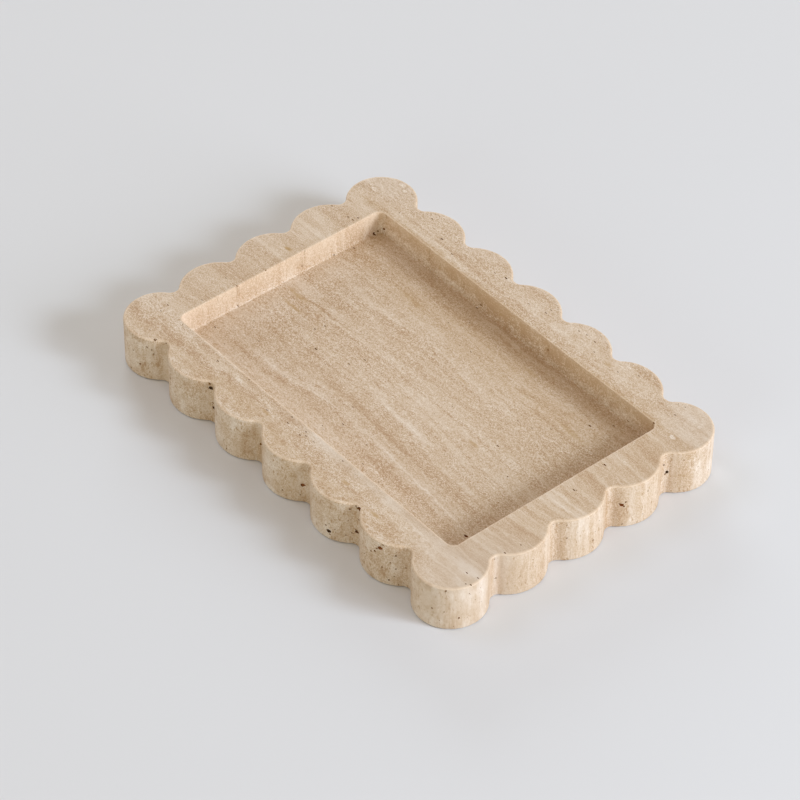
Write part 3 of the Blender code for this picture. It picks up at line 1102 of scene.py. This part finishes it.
def bending(graph, in_mm):
    """How far the beds lie from straight at a place, in mm."""
    drift = (graph.layer(in_mm, DRIFT) - 0.5) * DRIFT_REACH
    ripple = (graph.layer(in_mm, RIPPLE) - 0.5) * RIPPLE_REACH
    x, y, z = in_mm.parts()
    near_middle = x.absolute().ramp(*ARCH_FADE_X)
    near_arch = (y - ARCH_MIDDLE).absolute().ramp(*ARCH_FADE_Y)
    return drift + ripple - near_middle * near_arch * ARCH_RISE


def patch_distance(place, patch):
    """0 in the middle of a patch and 1 on its border."""
    shares = (1 / patch.half_length, 1 / patch.half_width, 1 / patch.half_height)
    return ((place - (patch.x, patch.y, patch.z)) * shares).length()


def patch_mask(place, patch):
    """1 in the middle of a patch and 0 outside it."""
    return patch_distance(place, patch).ramp(*PATCH_FADE)


def with_patches(field, place, rows):
    """The field with each patch's tone added where the patch lies."""
    for patch in rows:
        field = patch_mask(place, patch) * patch.tone + field
    return field


def vein(graph, in_mm, layer, width):
    """Thin lines along the middle level of a layer's noise."""
    return 1 - (graph.layer(in_mm, layer) - 0.5).absolute().ramp(0.0, width)


def spots(graph, in_mm, layer):
    """Soft areas in which something shows."""
    return graph.layer(in_mm, layer).ramp(*AREA_LEVELS)


def share_of_width(y):
    """0 at the front of the tray and 1 at its back."""
    return (y + HALF_WIDTH_MM) / (2 * HALF_WIDTH_MM)


def bed_ramp(graph, y):
    """How pale each bed is, from the front of the tray to its back."""
    ramp = graph.node("ShaderNodeValToRGB", {}, {"Fac": share_of_width(y)}, "Color")
    stops = ramp.socket.node.color_ramp
    stops.interpolation = "EASE"
    for place, tone in BEDS:
        stop = stops.elements.new(share_of_width(place))
        stop.color = (tone, tone, tone, 1)
    stops.elements.remove(stops.elements[0])
    stops.elements.remove(stops.elements[-1])
    return ramp.parts()[0] - 0.5


def pit_lining(name):
    """The dusty inside of a pit, dark in a hole and brown in a small pit."""
    material, graph, place = shader_graph(name)
    in_mm = place * 1000
    redness = graph.layer(in_mm, RED_HOLES).ramp(*RED_LEVELS)
    colour = graph.mix(redness, HOLE_DARK, HOLE_RED, "RGBA")
    radius = graph.node("ShaderNodeAttribute", {"attribute_name": "pit_radius_mm"}, {}, "Fac")
    colour = graph.mix(radius.ramp(*BROWN_RADII), colour, PIT_BROWN, "RGBA")
    crumbs = graph.layer(in_mm, LINING_CRUMBS)
    colour = graph.mix(crumbs.ramp(*CRUMB_LEVELS), colour, PIT_DUST, "RGBA")
    finish_surface(graph, colour, LINING_FINISH, crumbs, crumbs)
    return material


def moulded_rubber(name):
    """Matt dark rubber with a fine spark-eroded grain and a little stone dust."""
    material, graph, place = shader_graph(name)
    in_mm = place * 1000
    dust = graph.layer(in_mm, RUBBER_DUST).ramp(*DUST_LEVELS)
    colour = graph.mix(dust * DUST_SHARE, RUBBER, STONE_DUST, "RGBA")
    finish_surface(graph, colour, RUBBER_FINISH, dust, graph.layer(in_mm, RUBBER_GRAIN))
    return material


# Pads


def rubber_pad(name, node, rubber):
    """A disc with grip grooves and a gate mark underneath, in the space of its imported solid."""
    low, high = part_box(node)
    sizes = {
        "Radius": (high[0] - low[0]) / 2,
        "Thickness": high[2] - low[2],
        "Edge Radius": PAD_EDGE_RADIUS,
        "Groove Depth": GROOVE_DEPTH,
        "Middle X": (low[0] + high[0]) / 2,
        "Middle Y": (low[1] + high[1]) / 2,
        "Foot": low[2],
    }
    graph, first, size = geometry_tree(name, sizes)
    radius = size["Radius"]
    edge = size["Edge Radius"]
    mark_start = radius - GATE_MARK_RADIUS
    pitch = mark_start / (GRIP_GROOVES + 1)
    corners = [(radius, size["Thickness"], 0.0), (0.0, size["Thickness"], edge), (0.0, 0.0, edge)]
    depth = size["Groove Depth"]
    for groove in range(GRIP_GROOVES):
        start = pitch * (groove + 0.75)
        end = pitch * (groove + 1.25)
        for inset, height in [(start, 0.0), (start, depth), (end, depth), (end, 0.0)]:
            corners.append((inset, height, GROOVE_ROUNDING))
    corners.append((mark_start, 0.0, 0.0))
    corners.append((mark_start, GATE_MARK_DEPTH, 0.0))
    corners.append((radius, GATE_MARK_DEPTH, 0.0))
    sockets = {"Resolution": PAD_STEPS, "Radius": radius}
    circle = graph.node("GeometryNodeCurvePrimitiveCircle", {}, sockets)
    disc = swept_wall(graph, circle, corners, GROOVE_STEPS)
    middle = graph.vector(size["Middle X"], size["Middle Y"], size["Foot"])
    disc = moved(graph, disc, middle)
    disc = graph.node("GeometryNodeMergeByDistance", {}, {"Geometry": disc, "Distance": WELD / 2})
    finish_tree(graph, soft_shaded(graph, disc), (rubber, True))
    return evaluated_piece(name, graph, sizes)


# Studio


def bearing(azimuth, elevation):
    """The way from the tray to a camera or light, one unit long."""
    turn = math.radians(azimuth)
    rise = math.radians(elevation)
    flat = math.cos(rise)
    return Vector((math.cos(turn) * flat, math.sin(turn) * flat, math.sin(rise)))


def studio_camera():
    data = bpy.data.cameras.new("camera")
    data.lens = LENS
    data.sensor_width = SENSOR
    data.clip_end = CAMERA_REACH
    camera = added("camera", data)
    back = bearing(CAMERA_AZIMUTH, CAMERA_ELEVATION)
    right = Vector((0, 0, 1)).cross(back).normalized()
    up = back.cross(right)
    roll = math.radians(CAMERA_ROLL)
    rolled_right = right * math.cos(roll) + up * math.sin(roll)
    rolled_up = up * math.cos(roll) - right * math.sin(roll)
    turned = Matrix((rolled_right, rolled_up, back)).transposed().to_4x4()
    camera.matrix_world = Matrix.Translation(AIM + back * CAMERA_DISTANCE) @ turned
    bpy.context.scene.camera = camera
    bpy.context.view_layer.update()
    return camera


def studio_lights():
    """Round soft lights, all turned to the tray."""
    for light in LIGHTS:
        data = bpy.data.lights.new(light.name, "AREA")
        data.shape = "DISK"
        data.size = light.width
        data.energy = max(light.watts)
        data.color = [watts / max(light.watts) for watts in light.watts]
        lamp = added(light.name, data)
        back = bearing(light.azimuth, light.elevation)
        lamp.location = back * LIGHT_DISTANCE
        lamp.rotation_euler = back.to_track_quat("Z", "Y").to_euler()


def studio_world():
    """Even light on the tray, and a pale background for what looks past the floor."""
    world = bpy.data.worlds.new("studio")
    bpy.context.scene.world = world
    world.use_nodes = True
    world.node_tree.nodes.clear()
    graph = Graph(world.node_tree)
    path = graph.node("ShaderNodeLightPath")
    is_seen = path.math("MAXIMUM", path.other("Is Glossy Ray"))
    is_seen = is_seen.math("MAXIMUM", path.other("Is Transmission Ray"))
    pale = (BACKGROUND_GREY,) * 3
    colour = graph.mix(is_seen, (*AMBIENT, 1), (*pale, 1), "RGBA")
    background = graph.node("ShaderNodeBackground", {}, {"Color": colour, "Strength": 1.0})
    graph.node("ShaderNodeOutputWorld", {}, {"Surface": background})


def studio_floor():
    material, graph, place = shader_graph("studio_floor")
    mottle = graph.noise(place * MOTTLES_PER_METRE, 3.0)
    darker = (1 - FLOOR_MOTTLE,) * 3
    paler = (1 + FLOOR_MOTTLE,) * 3
    colour = graph.mix(mottle, (*darker, 1), (*paler, 1), "RGBA") * FLOOR
    sockets = {"Roughness": FLOOR_ROUGHNESS, "Specular IOR Level": FLOOR_SPECULAR}
    finish_shader(graph, {"Base Color": colour, **sockets})
    half = FLOOR_SIZE / 2
    mesh = bpy.data.meshes.new("studio_floor")
    corners = [(-half, -half, 0), (half, -half, 0), (half, half, 0), (-half, half, 0)]
    mesh.from_pydata(corners, [], [(0, 1, 2, 3)])
    mesh.materials.append(material)
    added("studio_floor", mesh)


camera = studio_camera()
stone = travertine("honed_travertine")
lining = pit_lining("pit_lining")
rubber = moulded_rubber("moulded_rubber")

tray = stone_tray(stone, lining, camera)
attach(tray, "root")
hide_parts("stone_tray")

for corner in ["front_right", "back_right", "back_left", "front_left"]:
    pad = rubber_pad(f"rubber_pad_{corner}", f"pad_{corner}", rubber)
    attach(pad, "root")
    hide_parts(f"pad_{corner}")

studio_floor()
studio_lights()
studio_world()
bpy.context.scene.view_settings.view_transform = "Standard"
